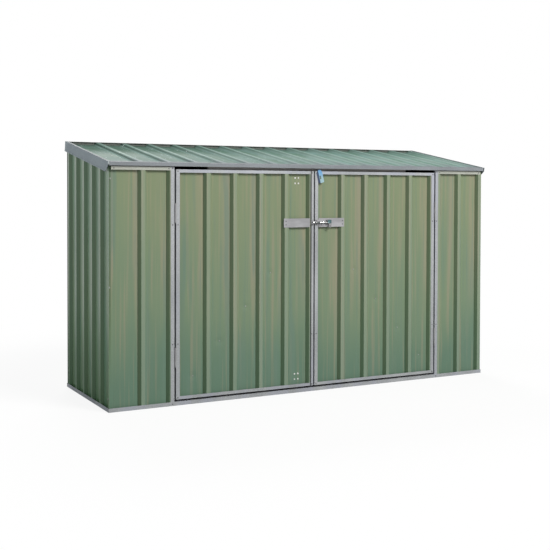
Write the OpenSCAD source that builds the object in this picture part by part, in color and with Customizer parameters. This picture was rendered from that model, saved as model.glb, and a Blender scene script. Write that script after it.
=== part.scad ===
// Lean-to bike shed of ribbed sheet steel in a frame of folded channels.
// Origin: middle of the footprint at ground level, +X along the front, +Y to the back, +Z up.

/* [Body] */
// Width of the base over the channels
body_w = 2260; // [1700:10:3000]
// Depth of the base over the channels
body_d = 780; // [780:10:1500]
// Height of the eave channel's underside above the ground
eave_h = 1211; // [1000:1:2000]
// Slope of the roof, in degrees
roof_pitch = 9; // [5:0.5:15]
// How far the roof stands out in front of the front wall
front_overhang = 12; // [8:1:40]
// How far the roof stands out behind the back wall
rear_overhang = 3; // [2:1:40]

/* [Ribbed sheet] */
// Thickness of the wall, door and roof sheets
sheet_t = 1; // [0.6:0.1:1.5]
// Distance from rib to rib
rib_pitch = 148; // [120:1:180]
// Height of a rib over the pan beside it
rib_h = 14; // [8:0.5:20]
// Width of each sloping side of a rib
rib_flank = 15; // [8:0.5:20]
// Width of the flat top of a rib
rib_crown = 20; // [10:1:30]
// Distance from a sheet's left edge to its first rib
first_rib = 147.5; // [100:0.5:160]
// Width of a sheet that its neighbour laps over
lap = 40; // [20:1:60]
// Ribs that one full sheet covers
ribs_per_sheet = 5; // [3:1:7]
// Width cut off the rib top that a side wall ends on
corner_cut = 4; // [0:0.5:6]

/* [Channels] */
// Thickness of the folded channels
frame_t = 1.2; // [0.8:0.1:2]
// Clearance between a sheet and the channel round its edge
fit_gap = 0.3; // [0.1:0.05:0.5]
// Height of the base channels
base_h = 20; // [15:1:40]
// Height of the rails at the top and bottom of walls and doors
rail_h = 16; // [12:1:30]
// Width of the door posts and door stiles
stile_w = 19; // [15:1:30]
// Depth of the flanges of the roof's front and back channels
roof_flange = 25; // [20:1:35]
// Depth of the back channel's upper flange
rear_lip = 9; // [6:1:20]
// Gap behind the doors to the cross member that carries the roof
header_gap = 6; // [5:0.5:20]
// Height of the cross member behind the doors' top edge
header_h = 22; // [12:1:30]
// Length of the cross member
header_l = 1206; // [800:1:1500]
// Gap between the front wall's top rails and the roof
rail_drop = 5; // [0:0.5:8]
// Distance from the corners to the ends of the front wall's top rails
rail_inset = 13; // [0:0.5:15]
// Depth of the barge boards down the roof's sides
barge_h = 55; // [45:1:80]
// Width of the barge boards' top flange
barge_flange = 14; // [12:1:30]
// Gap between the barge boards and the side walls
barge_gap = 6; // [1:0.5:8]
// Width of the folded hem at the foot of the barge boards
barge_hem = 8; // [4:1:12]

/* [Doors] */
// Width of the doorway between the posts
door_opening = 1588; // [1200:1:1700]
// Gap between a post and its door leaf
hinge_gap = 9; // [8:0.5:14]
// Gap between the two door leaves
meet_gap = 8; // [6:0.5:12]
// Gap between the sill and the door leaves
sill_gap = 10; // [6:1:15]
// Gap between the door leaves and the eave channel
head_gap = 15; // [8:1:20]
// Width of the braces behind the door sheets
brace_w = 26; // [18:1:40]
// Depth of the braces' stiffening leg
brace_leg = 10; // [6:1:14]

/* [Hinges] */
// Length of a hinge
hinge_l = 100; // [60:1:140]
// Radius of the hinge knuckles
knuckle_r = 3.5; // [3.2:0.1:3.8]
// Radius of the hinge pins
pin_r = 2; // [1.5:0.1:2.4]
// Running clearance of the pins in their knuckles
pin_clearance = 0.05; // [0.02:0.01:0.1]
// Thickness of the hinge plates
hinge_plate_t = 1.5; // [1:0.1:2]
// Height of the middle of the lower hinges
low_hinge_z = 245; // [150:1:400]
// Height of the middle of the upper hinges
high_hinge_z = 975; // [700:1:1100]

/* [Latch] */
// Height of the latch
latch_z = 917; // [700:1:1000]
// Height of the latch plates
plate_h = 48; // [40:1:60]
// Length of the keeper plate on the left leaf
keeper_plate_l = 156; // [120:1:200]
// Length of the latch plate on the right leaf
latch_plate_l = 158; // [150:1:240]
// Thickness of the latch plates
plate_t = 1.5; // [1:0.1:3]
// Gap between a latch plate and the stile beside it
plate_gap = 4; // [1:0.5:8]
// Height of the bolt's own plate, over the latch plate and the stile
bolt_plate_h = 32; // [26:1:40]
// Distance from a leaf's free edge to the bolt's plate and to the keeper
bolt_edge = 2; // [1:0.5:4]
// Radius of the bolt
bolt_r = 4.5; // [3:0.1:6]
// Gap between the bolt and its plate
bolt_standoff = 4; // [3:0.5:6]
// How far the bolt slides
bolt_travel = 20; // [20:1:24]
// Running clearance of the bolt in its guides
bolt_clearance = 0.1; // [0.05:0.01:0.1]
// Distance from the right leaf's free edge to the bolt's first guide
guide_inset = 22; // [12:1:30]
// Gap between the bolt's two guides
guide_space = 8; // [4:1:20]
// Wall thickness of the bolt's guides
guide_wall = 3; // [2:0.5:4]
// Length of the bolt's guides and keeper
guide_l = 8; // [6:1:10]
// Width of the bolt's handle
handle_w = 24; // [20:1:32]
// Height of the bolt's handle
handle_h = 22; // [16:1:26]
// How far the handle's middle stands over the bolt
handle_lift = 5; // [0:0.5:6]
// Thickness of the bolt's handle
handle_t = 4; // [2:0.5:5]
// Depth of the padlock eye's middle below the bolt
eye_drop = 20; // [14:1:30]
// Radius of the padlock eye
eye_r = 4.5; // [3:0.5:5]
// Wall thickness round the padlock eye
eye_wall = 3.5; // [2.5:0.5:5]
// Gap between the handle and the guide beside it when the bolt is shot
handle_gap = 6; // [5.5:0.5:15]

/* [Drop bolts] */
// Distance from the left leaf's free edge to the drop bolts
drop_bolt_inset = 96; // [70:1:120]
// Radius of the drop bolts
drop_bolt_r = 4; // [3:0.5:5]
// Length of the drop bolts
drop_bolt_l = 120; // [90:5:160]
// Gap between the drop bolts and their back plates
drop_standoff = 3; // [2:0.5:6]
// Width of the drop bolts' back plates
drop_plate_w = 30; // [24:1:40]
// Height of the drop bolts' back plates
drop_plate_h = 60; // [45:1:80]
// Height of the lower back plate's middle above the leaf's foot
drop_low = 55; // [50:1:80]
// Depth of the upper back plate's middle below the leaf's top
drop_high = 52; // [50:1:80]
// Width of the upper drop bolt's strike on the cross member
strike_w = 10; // [6:1:16]
// Thickness of the strike
strike_t = 2; // [1:0.5:2.5]

/* [Hang tag] */
// Width of the hang tag
tag_w = 35; // [25:1:45]
// Height of the hang tag with its neck
tag_h = 72; // [50:1:80]
// Thickness of the hang tag
tag_t = 1.5; // [1:0.1:3]
// Width of the hang tag's neck
tag_neck_w = 18; // [12:1:24]
// Depth below the tag's top where it reaches its full width
tag_shoulder_h = 18; // [12:1:24]
// Radius of the hang tag's lower corners
tag_corner_r = 6; // [3:1:10]
// Width of the slot in the hang tag
slot_w = 7; // [4:0.5:10]
// Height of the slot in the hang tag
slot_h = 20; // [12:1:30]
// Depth of the slot's top below the tag's top
slot_drop = 32; // [24:1:40]
// Distance from the right leaf's free edge to the middle of the tag's neck
tag_inset = 22; // [18:0.5:30]
// Lean of the hang tag, in degrees
tag_lean = 13.5; // [0:0.5:15]

/* [Hidden] */

$fn = 48;
paint = [0.45, 0.55, 0.43];
zinc = [0.66, 0.68, 0.71];
galvanised = [0.72, 0.73, 0.75];
tag_blue = [0.35, 0.6, 0.85];

half_w = body_w / 2;
half_d = body_d / 2;
// How far a cutting shape passes the faces it cuts, and a strap runs into its plate.
over = 1;
// Room kept between a moving part and a fixed one where they aren't joined.
moving_gap = 5.5;

// A channel is as deep as the ribbed sheet inside it, with clearance on both faces.
channel_d = rib_h + sheet_t + 2 * (frame_t + fit_gap);
// Where a sheet's rib tops and pans stand behind the outer face of its channel.
crown_inset = frame_t + fit_gap;
pan_inset = crown_inset + rib_h;
back_inset = pan_inset + sheet_t;
sheet_cover = ribs_per_sheet * rib_pitch;
rib_w = 2 * rib_flank + rib_crown;

eave_y = -half_d - front_overhang;
roof_run = body_d + front_overhang + rear_overhang;
roof_len = roof_run / cos(roof_pitch);
tall = eave_h + roof_run;

post_x = door_opening / 2;
post_back_x = post_x + stile_w;
leaf_x = post_x - hinge_gap;
leaf_w = leaf_x - meet_gap / 2;
door_z = base_h + sill_gap;
door_top = eave_h - head_gap;

axis_x = post_x - hinge_gap / 2;
knuckle_standoff = 0.5;
axis_y = -half_d - knuckle_r - knuckle_standoff;
knuckle_gap = 0.3;
// How much narrower the hinge plates are than the channel they lie on.
hinge_margin = 2;

// How far a fold's inner face lies beside its outer face.
fold_shift = sheet_t * tan(atan(rib_h / rib_flank) / 2);
// At the corners a sheet's right end, on a rib, covers the next sheet's left end.
crown_x = half_w - crown_inset;
crown_back = crown_inset + sheet_t;
corner_top_w = rib_crown - corner_cut;
corner_flank_w = max(0, back_inset - crown_inset - corner_top_w + fold_shift);
corner_x = half_w - crown_back - corner_flank_w * rib_h / rib_flank;
last_lap_x = crown_x - sheet_cover - lap;
first_lap_x = last_lap_x - sheet_cover;

leaf_h = door_top - door_z;
leaf_edge = meet_gap / 2;
header_v = (front_overhang + channel_d + header_gap) / cos(roof_pitch);
header_foot_z = eave_h + header_v * sin(roof_pitch) - header_h * cos(roof_pitch);

// The bolt is drawn at rest: its tip stays short of the other leaf.
bolt_tip_short = 1;
bolt_tip_x = leaf_edge - bolt_tip_short;
bolt_y = -half_d - plate_t - bolt_standoff - bolt_r;
bolt_plate_x = leaf_edge + bolt_edge;
bolt_plate_margin = 4;
guide_r = bolt_r + bolt_clearance + guide_wall;
near_guide_x = leaf_edge + guide_inset;
far_guide_x = near_guide_x + guide_l + guide_space;
handle_x = far_guide_x + guide_l + bolt_travel + handle_gap;
bolt_end_x = handle_x + handle_w;
eye_out_r = eye_r + eye_wall;

drop_x = -leaf_edge - drop_bolt_inset;
drop_plate_t = frame_t;
drop_top_z = min(door_top, header_foot_z - moving_gap);
strike_foot_w = (door_top + moving_gap - eave_h - header_v * sin(roof_pitch)) / cos(roof_pitch);
tag_x = leaf_edge + tag_inset;
tag_z = eave_h - moving_gap - sin(tag_lean) * tag_neck_w / 2;

// ---- Ribbed sheet -------------------------------------------------------------------------

// Where the ribs begin between x0 and x1, on a sheet whose left edge is at left. A sheet that
// laps over its neighbour has one more rib there.
function ribs_between(left, x0, x1, lapped = false) = [
    for (i = [(lapped ? -1 : 0):floor((x1 - left - first_rib) / rib_pitch)])
        let (start = left + first_rib + i * rib_pitch) if (start + rib_w > x0) start
];

// A rib's four folds, each [x, height, side]: side is 1 going up the rib and -1 coming down.
function rib_folds(start) = [
    [start, 0, 1], [start + rib_flank, rib_h, 1],
    [start + rib_flank + rib_crown, rib_h, -1], [start + rib_w, 0, -1]
];

// The section of a sheet of even thickness from x0 to x1: pans at height 0, ribs upwards.
module sheet_section(starts, x0, x1) {
    folds = [for (s = starts) for (f = rib_folds(s)) f];
    outer = concat([[x0 - rib_w, 0, 0]], folds, [[x1 + rib_w, 0, 0]]);
    last = len(outer) - 1;
    intersection() {
        polygon(concat(
            [for (f = outer) [f[0], f[1]]],
            [for (i = [last:-1:0])
                [outer[i][0] + fold_shift * outer[i][2], outer[i][1] - sheet_t]]
        ));
        translate([x0, -rib_h]) square([x1 - x0, 3 * rib_h]);
    }
}

// A sheet upright on the line y = 0 from x0 to x1, with its ribs towards -Y.
module standing_sheet(starts, x0, x1, z0, z1) {
    translate([0, 0, z0]) linear_extrude(z1 - z0) mirror([0, 1]) sheet_section(starts, x0, x1);
}

// ---- Planes of the roof -------------------------------------------------------------------

// The roof's own frame: X as before, Y up the slope from the eave's face, Z square to it.
module roof_frame() {
    translate([0, eave_y, eave_h]) rotate([roof_pitch, 0, 0]) children();
}

// What lies between two planes parallel to the roof's underside.
module roof_slice(low, high) {
    roof_frame() translate([-body_w, -body_d, low]) cube([2 * body_w, 3 * body_d, high - low]);
}

// ---- The four sides of the footprint, mitred at the corners ---------------------------------

// The ring between two lines that stand in from the edge of the footprint.
module ring(inset_out, inset_in, z0, z1) {
    difference() {
        translate([-half_w + inset_out, -half_d + inset_out, z0])
            cube([body_w - 2 * inset_out, body_d - 2 * inset_out, z1 - z0]);
        translate([-half_w + inset_in, -half_d + inset_in, z0 - over])
            cube([body_w - 2 * inset_in, body_d - 2 * inset_in, z1 - z0 + 2 * over]);
    }
}

// One side's share of the ring: front = 0, right = 1, back = 2, left = 3.
module side_share(side) {
    half_l = side % 2 == 0 ? half_w : half_d;
    reach = side % 2 == 0 ? half_d : half_w;
    rotate([0, 0, 90 * side]) linear_extrude(tall)
        polygon([[-half_l, -reach], [half_l, -reach],
            [half_l - channel_d, channel_d - reach], [channel_d - half_l, channel_d - reach]]);
}

module base_ring() {
    difference() {
        ring(0, channel_d, 0, base_h);
        ring(frame_t, channel_d - frame_t, frame_t, base_h + over);
    }
}

// The channel along the tops of the walls. Its web's underside is at web_w in the roof's frame.
module top_ring(web_w) {
    difference() {
        intersection() {
            ring(0, channel_d, eave_h / 2, tall);
            roof_slice(web_w - rail_h, web_w + frame_t);
        }
        intersection() {
            ring(frame_t, channel_d - frame_t, eave_h / 2, tall);
            roof_slice(web_w - 2 * rail_h, web_w);
        }
    }
}

// ---- Folded channels ------------------------------------------------------------------------

// A channel along +Z that opens towards +X, on the corner x = 0, y = 0.
module stile_channel(h) {
    difference() {
        cube([stile_w, channel_d, h]);
        translate([frame_t, frame_t, -over])
            cube([stile_w, channel_d - 2 * frame_t, h + 2 * over]);
    }
}

// A channel along +X that opens upwards, on the corner y = 0, z = 0.
module rail_channel(l, h) {
    difference() {
        cube([l, channel_d, h]);
        translate([-over, frame_t, frame_t]) cube([l + 2 * over, channel_d - 2 * frame_t, h]);
    }
}

// ---- Base -----------------------------------------------------------------------------------

// All that stands at the front between the posts' outer edges.
module between_posts() {
    translate([-post_back_x, -half_d - over, -over])
        cube([2 * post_back_x, channel_d + 2 * over, tall]);
}

module base_front() color(zinc)
    difference() {
        intersection() { base_ring(); side_share(0); }
        between_posts();
    }

module door_sill() color(zinc)
    translate([-post_x, -half_d, 0]) rail_channel(door_opening, base_h);

module base_right() color(zinc) intersection() { base_ring(); side_share(1); }
module base_back() color(zinc) intersection() { base_ring(); side_share(2); }
module base_left() color(zinc) intersection() { base_ring(); side_share(3); }

// ---- Walls ----------------------------------------------------------------------------------

// A side wall on the left. Along the sheet x runs from back to front, and ends on a rib top.
module side_sheet() {
    x0 = crown_back - half_d;
    x1 = half_d - crown_inset;
    last_rib = x1 - rib_flank - corner_top_w;
    starts = [for (i = [floor((last_rib - x0) / rib_pitch):-1:0]) last_rib - i * rib_pitch];
    translate([pan_inset - half_w, 0, 0]) rotate([0, 0, -90])
        standing_sheet(starts, x0, x1, frame_t, tall);
}

// What lies under the side rails' webs, and under those of the front and back rails.
module under_rails() {
    difference() {
        roof_slice(-tall, 0);
        intersection() { side_share(0); roof_slice(-rail_drop - frame_t, frame_t); }
        intersection() { side_share(2); roof_slice(-frame_t, frame_t); }
    }
}

module left_wall() color(paint) intersection() { side_sheet(); under_rails(); }
module right_wall() color(paint)
    intersection() { rotate([0, 0, 180]) side_sheet(); under_rails(); }

// A sheet of the back wall. Seen from behind, x0 is its left edge and x1 its right.
module back_sheet(x0, x1, left, lapped = false) color(paint)
    intersection() {
        translate([0, half_d - pan_inset, 0]) rotate([0, 0, 180])
            standing_sheet(ribs_between(left, x0, x1, lapped), x0, x1, frame_t, tall);
        roof_slice(-tall, -frame_t);
    }
module back_sheet_left() back_sheet(-corner_x, first_lap_x, -crown_x);
module back_sheet_middle() back_sheet(first_lap_x, last_lap_x, first_lap_x, true);
module back_sheet_right() back_sheet(last_lap_x, crown_x, last_lap_x, true);

// A fixed panel beside the doorway. It stands in the base, the post and the front rail.
module front_panel(x0, x1, left) color(paint)
    intersection() {
        translate([0, pan_inset - half_d, 0])
            standing_sheet(ribs_between(left, x0, x1), x0, x1, frame_t, tall);
        roof_slice(-tall, -rail_drop - frame_t);
    }
module front_panel_left() front_panel(-corner_x, -post_x - crown_inset, -crown_x);
module front_panel_right() front_panel(post_x + crown_inset, crown_x, last_lap_x);

// A post of the doorway, from the ground to the top of the rail beside it.
module door_post() color(zinc)
    intersection() {
        translate([-post_x, -half_d, 0]) mirror([1, 0, 0]) stile_channel(tall);
        roof_slice(-tall, -rail_drop);
    }
module door_post_left() door_post();
module door_post_right() mirror([1, 0, 0]) door_post();

// The rails over the fixed panels end short of the corners.
module front_rails() color(zinc)
    difference() {
        intersection() {
            top_ring(-rail_drop - frame_t);
            side_share(0);
            translate([rail_inset - half_w, -body_d, 0]) cube([body_w - 2 * rail_inset, body_d, tall]);
        }
        between_posts();
    }
module side_rail_right() color(zinc) intersection() { side_top_ring(); side_share(1); }
module back_rail() color(zinc) intersection() { top_ring(-frame_t); side_share(2); }
module side_rail_left() color(zinc) intersection() { side_top_ring(); side_share(3); }

// The side rails' tops carry the roof sheets, so they stop at the roof's own end channels.
module side_top_ring() {
    intersection() {
        top_ring(0);
        roof_frame() translate([-body_w, roof_flange + fit_gap, -tall])
            cube([2 * body_w, roof_len - 2 * (roof_flange + fit_gap), 2 * tall]);
    }
}

// The cross member under the roof sheets just behind the doors' top edge, with the strike
// that the upper drop bolt meets.
module header() color(zinc)
    roof_frame() {
        translate([-header_l / 2, header_v, frame_t]) mirror([0, 0, 1])
            rail_channel(header_l, header_h + frame_t);
        translate([drop_x - strike_w / 2, header_v - strike_t, strike_foot_w])
            cube([strike_w, strike_t, -strike_foot_w]);
    }

// ---- Roof -----------------------------------------------------------------------------------

module roof_sheet(x0, x1, left, lapped = false) color(paint)
    roof_frame() translate([0, crown_inset, frame_t + sheet_t]) rotate([90, 0, 0])
        mirror([0, 0, 1]) linear_extrude(roof_len - 2 * crown_inset)
            sheet_section(ribs_between(left, x0, x1, lapped), x0, x1);
module roof_sheet_left() roof_sheet(-half_w, first_lap_x, -half_w);
module roof_sheet_middle() roof_sheet(first_lap_x, last_lap_x, first_lap_x, true);
module roof_sheet_right() roof_sheet(last_lap_x, half_w, last_lap_x, true);

// The channel round the sheets' front ends, open to the back. Its upper flange is lip deep.
module eave_section(lip) {
    difference() {
        cube([body_w, roof_flange, channel_d]);
        translate([-over, frame_t, frame_t])
            cube([body_w + 2 * over, roof_flange, channel_d - 2 * frame_t]);
        translate([-over, lip, channel_d / 2]) cube([body_w + 2 * over, roof_flange, channel_d]);
    }
}
module eave_channel() color(zinc)
    roof_frame() translate([-half_w, 0, 0]) eave_section(roof_flange);
module rear_channel() color(zinc)
    roof_frame() translate([-half_w, roof_len, 0]) mirror([0, 1, 0]) eave_section(rear_lip);

// A barge board down the roof's left side, with a hem folded out along its foot.
// The foot is cut back at 45 degrees at the front end.
module barge() color(zinc) {
    top = channel_d + fit_gap + frame_t;
    foot = top - barge_h;
    roof_frame() translate([-half_w - barge_gap - frame_t, 0, 0]) difference() {
        rotate([90, 0, 0]) mirror([0, 0, 1]) linear_extrude(roof_len)
            polygon([[-frame_t, foot], [frame_t, foot], [frame_t, top - frame_t],
                [barge_flange, top - frame_t], [barge_flange, top], [0, top],
                [0, foot + barge_hem], [-frame_t, foot + barge_hem]]);
        translate([-2 * frame_t, 0, 0]) rotate([90, 0, 90]) linear_extrude(4 * frame_t)
            polygon([[-over, over - frame_t], [over - frame_t - foot, foot - over],
                [-over, foot - over]]);
    }
}
module barge_left() barge();
module barge_right() mirror([1, 0, 0]) barge();

// ---- Hinges ---------------------------------------------------------------------------------

// Hinge parts stand on the hinge axis with z = 0 at the hinge's foot. The post is towards -X.
module knuckle(z0, z1, r) {
    translate([0, 0, z0]) cylinder(h = z1 - z0, r = r);
}

// The half on the post: two knuckles, the pin through them and the plate in the gap.
module fixed_hinge() {
    third = hinge_l / 3;
    half_gap = hinge_gap / 2;
    face = -half_d - axis_y;
    translate([-half_gap, face, 0]) cube([hinge_plate_t, channel_d - hinge_margin, hinge_l]);
    knuckle(0, hinge_l, pin_r);
    for (z = [0, 2 * third]) {
        knuckle(z, z + third, knuckle_r);
        translate([-half_gap, 0, z]) cube([hinge_plate_t, face + over, third]);
    }
}

// The half on the leaf: the middle knuckle, bored for the pin, and its plate.
module moving_hinge() {
    third = hinge_l / 3;
    half_gap = hinge_gap / 2;
    face = -half_d - axis_y;
    difference() {
        union() {
            translate([half_gap - hinge_plate_t, face, 0])
                cube([hinge_plate_t, channel_d - hinge_margin, hinge_l]);
            knuckle(third + knuckle_gap, 2 * third - knuckle_gap, knuckle_r);
            translate([half_gap - hinge_plate_t, 0, third + knuckle_gap])
                cube([hinge_plate_t, face + over, third - 2 * knuckle_gap]);
        }
        knuckle(-over, hinge_l + over, pin_r + pin_clearance);
    }
}

// Both hinges of the left leaf.
module at_left_hinges() {
    for (z = [low_hinge_z, high_hinge_z])
        translate([-axis_x, axis_y, z - hinge_l / 2]) children();
}
module post_hinges() color(galvanised) {
    at_left_hinges() fixed_hinge();
    mirror([1, 0, 0]) at_left_hinges() fixed_hinge();
}
module left_door_hinges() color(galvanised) at_left_hinges() moving_hinge();
module right_door_hinges() color(galvanised)
    mirror([1, 0, 0]) at_left_hinges() moving_hinge();

// ---- Door leaves ----------------------------------------------------------------------------

// A leaf's parts are drawn from its left edge at x = 0, with y = 0 on its outer face.
module at_left_leaf() { translate([-leaf_x, -half_d, door_z]) children(); }
module at_right_leaf() { translate([leaf_edge, -half_d, door_z]) children(); }

module leaf_sheet() color(paint)
    translate([0, pan_inset, 0])
        standing_sheet(ribs_between(crown_inset, crown_inset, leaf_w - crown_inset),
            crown_inset, leaf_w - crown_inset, frame_t, leaf_h - frame_t);
module left_stile() color(zinc) stile_channel(leaf_h);
module right_stile() color(zinc) translate([leaf_w, 0, 0]) mirror([1, 0, 0]) stile_channel(leaf_h);
module leaf_rails() color(zinc) {
    translate([stile_w, 0, 0]) rail_channel(leaf_w - 2 * stile_w, rail_h);
    translate([stile_w, 0, leaf_h]) mirror([0, 0, 1])
        rail_channel(leaf_w - 2 * stile_w, rail_h);
}

// A brace from the bottom corner at the hinges up to the free edge at the latch's height.
// It is an angle: one leg lies on the pans' backs and the other stiffens it.
module leaf_brace() color(zinc) {
    rise = latch_z - door_z;
    brace_a = atan(rise / leaf_w);
    brace_l = 2 * leaf_w;
    inside = stile_w + fit_gap;
    intersection() {
        translate([0, back_inset, 0]) rotate([0, -brace_a, 0]) translate([-leaf_w / 2, 0, 0]) {
            translate([0, 0, -brace_w / 2]) cube([brace_l, frame_t, brace_w]);
            translate([0, 0, -brace_w / 2]) cube([brace_l, brace_leg, frame_t]);
        }
        translate([inside, 0, rail_h + fit_gap])
            cube([leaf_w - 2 * inside, 3 * channel_d, leaf_h - 2 * (rail_h + fit_gap)]);
    }
}

module left_door_sheet() at_left_leaf() leaf_sheet();
module left_hinge_stile() at_left_leaf() left_stile();
module left_meeting_stile() at_left_leaf() right_stile();
module left_door_rails() at_left_leaf() leaf_rails();
module left_door_brace() at_left_leaf() leaf_brace();
module right_door_sheet() at_right_leaf() leaf_sheet();
module right_meeting_stile() at_right_leaf() left_stile();
module right_hinge_stile() at_right_leaf() right_stile();
module right_door_rails() at_right_leaf() leaf_rails();
module right_door_brace()
    at_right_leaf() translate([leaf_w, 0, 0]) mirror([1, 0, 0]) leaf_brace();

// A drop bolt on the back of the left leaf: a plate, two guides and the rod through them.
// The rod stands rod_z above the middle of its plate.
module drop_bolt(rod_z) {
    rod_y = drop_plate_t + drop_standoff + drop_bolt_r;
    translate([0, rod_y, rod_z]) cylinder(h = drop_bolt_l, r = drop_bolt_r);
    translate([-drop_plate_w / 2, 0, -drop_plate_h / 2])
        cube([drop_plate_w, drop_plate_t, drop_plate_h]);
    for (z = [-drop_plate_h / 2, drop_plate_h / 2 - guide_l])
        translate([-drop_bolt_r - guide_wall, 0, z])
            cube([2 * (drop_bolt_r + guide_wall), rod_y + drop_bolt_r + guide_wall, guide_l]);
}
module drop_bolts() color(galvanised)
    translate([drop_x, back_inset - half_d, 0]) {
        translate([0, 0, door_z + drop_low]) drop_bolt(-drop_low);
        translate([0, 0, door_top - drop_high])
            drop_bolt(drop_top_z - door_top + drop_high - drop_bolt_l);
    }

// ---- Latch ----------------------------------------------------------------------------------

// A guide or keeper for the bolt: a block round the bore, closed down to its plate.
module bolt_guide(x) {
    foot = bolt_y + half_d + plate_t;
    translate([x, bolt_y, latch_z]) difference() {
        union() {
            rotate([0, 90, 0]) cylinder(h = guide_l, r = guide_r);
            translate([0, 0, -guide_r]) cube([guide_l, -foot, 2 * guide_r]);
        }
        translate([-over, 0, 0]) rotate([0, 90, 0])
            cylinder(h = guide_l + 2 * over, r = bolt_r + bolt_clearance);
    }
}

// A plate from x0 to x1 whose back stands in from the leaf's face.
module plate(x0, x1, h, inset) {
    translate([x0, inset - half_d - plate_t, latch_z - h / 2]) cube([x1 - x0, plate_t, h]);
}

// The plate on the left leaf's ribs, and the keeper on its free stile.
module keeper_plate() color(galvanised) {
    plate_x = -leaf_edge - stile_w - plate_gap;
    keeper_x = -leaf_edge - bolt_edge;
    plate(plate_x - keeper_plate_l, plate_x, plate_h, crown_inset);
    plate(keeper_x - (stile_w - 2 * bolt_edge), keeper_x, bolt_plate_h, 0);
    bolt_guide(keeper_x - guide_l);
}

// The plate on the right leaf's rib, and the bolt's own plate over it and the free stile.
module latch_plate() color(galvanised) {
    plate_x = leaf_edge + stile_w + plate_gap;
    plate(plate_x, plate_x + latch_plate_l, plate_h, crown_inset);
    plate(bolt_plate_x, bolt_end_x + bolt_plate_margin, bolt_plate_h, 0);
    bolt_guide(near_guide_x);
    bolt_guide(far_guide_x);
}

// The sliding bolt with its flat handle and the eye under it, which takes a padlock.
module pad_bolt() color(galvanised) {
    eye_x = bolt_end_x - eye_out_r;
    eye_z = latch_z - eye_drop;
    handle_foot_z = latch_z + handle_lift - handle_h / 2;
    front_y = bolt_y - handle_t / 2;
    translate([bolt_tip_x, bolt_y, latch_z]) rotate([0, 90, 0])
        cylinder(h = handle_x + handle_w / 2 - bolt_tip_x, r = bolt_r);
    difference() {
        union() {
            translate([handle_x, front_y, handle_foot_z]) cube([handle_w, handle_t, handle_h]);
            translate([eye_x - eye_out_r, front_y, eye_z])
                cube([2 * eye_out_r, handle_t, handle_foot_z + over - eye_z]);
            translate([eye_x, front_y, eye_z]) rotate([-90, 0, 0])
                cylinder(h = handle_t, r = eye_out_r);
        }
        translate([eye_x, front_y - over, eye_z]) rotate([-90, 0, 0])
            cylinder(h = handle_t + 2 * over, r = eye_r);
    }
}

// ---- Hang tag -------------------------------------------------------------------------------

// The tag's outline, with the middle of its top edge at the origin and its height down -Y.
module tag_outline() {
    half_tag = tag_w / 2;
    half_neck = tag_neck_w / 2;
    corner_y = tag_corner_r - tag_h;
    polygon([[-half_neck, 0], [half_neck, 0], [half_tag, -tag_shoulder_h],
        [half_tag, corner_y], [-half_tag, corner_y], [-half_tag, -tag_shoulder_h]]);
    translate([tag_corner_r - half_tag, -tag_h]) square([tag_w - 2 * tag_corner_r, tag_corner_r]);
    for (x = [tag_corner_r - half_tag, half_tag - tag_corner_r])
        translate([x, corner_y]) circle(r = tag_corner_r);
}

// The tag hangs at the right leaf's top corner by the free edge, over stile and rail.
module hang_tag() color(tag_blue)
    translate([tag_x, -half_d, tag_z]) rotate([90, 0, 0]) rotate([0, 0, tag_lean])
        linear_extrude(tag_t) difference() {
            tag_outline();
            for (y = [slot_w / 2, slot_h - slot_w / 2])
                translate([0, -slot_drop - y]) circle(r = slot_w / 2);
            translate([-slot_w / 2, slot_w / 2 - slot_drop - slot_h])
                square([slot_w, slot_h - slot_w]);
        }

base_front();
door_sill();
base_left();
base_right();
base_back();
left_wall();
right_wall();
back_sheet_left();
back_sheet_middle();
back_sheet_right();
front_panel_left();
front_panel_right();
door_post_left();
door_post_right();
front_rails();
side_rail_left();
side_rail_right();
back_rail();
header();
roof_sheet_left();
roof_sheet_middle();
roof_sheet_right();
eave_channel();
rear_channel();
barge_left();
barge_right();
post_hinges();
left_door_sheet();
left_hinge_stile();
left_meeting_stile();
left_door_rails();
left_door_brace();
left_door_hinges();
drop_bolts();
keeper_plate();
right_door_sheet();
right_hinge_stile();
right_meeting_stile();
right_door_rails();
right_door_brace();
right_door_hinges();
latch_plate();
pad_bolt();
hang_tag();
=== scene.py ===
import math

import bmesh
import bpy
from mathutils import Matrix, Vector


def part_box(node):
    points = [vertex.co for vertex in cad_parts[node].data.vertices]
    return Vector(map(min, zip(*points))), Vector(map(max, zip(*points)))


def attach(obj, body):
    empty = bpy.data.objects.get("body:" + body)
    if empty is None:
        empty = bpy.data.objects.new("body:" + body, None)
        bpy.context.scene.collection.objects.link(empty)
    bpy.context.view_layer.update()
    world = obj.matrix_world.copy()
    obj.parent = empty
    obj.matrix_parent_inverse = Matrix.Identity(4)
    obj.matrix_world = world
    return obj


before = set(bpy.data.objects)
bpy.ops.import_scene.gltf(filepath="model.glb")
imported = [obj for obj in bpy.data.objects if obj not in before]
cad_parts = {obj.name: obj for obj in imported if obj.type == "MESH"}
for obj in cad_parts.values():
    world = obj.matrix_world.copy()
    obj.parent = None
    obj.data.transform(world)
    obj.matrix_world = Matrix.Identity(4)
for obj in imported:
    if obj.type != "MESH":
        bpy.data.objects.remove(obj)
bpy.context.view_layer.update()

# ---------------------------------------------------------------------------
# Sizes, in metres, in the model's own frame: X along the front, Y from the
# front to the back, Z up, with the origin on the ground under the middle.
# ---------------------------------------------------------------------------
RIB_PITCH = 0.148          # from one rib to the next
RIB_TOP = 0.010            # half the width of a rib's flat top
RIB_FOOT = 0.025           # half the width of a rib where it meets the pan
RIB_RISE = 0.014           # how far a rib stands out of the pan
SHEET_T = 0.001            # thickness of the painted sheets
SHEET_FIRST_RIB = 0.1475   # from a front sheet's left edge to its first rib's foot
RIB_LEAD = 0.010           # how far before that foot a rib's colours may begin
SIDE_LAST_RIB = 0.006      # from a side wall's right edge to its last rib's middle
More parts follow.
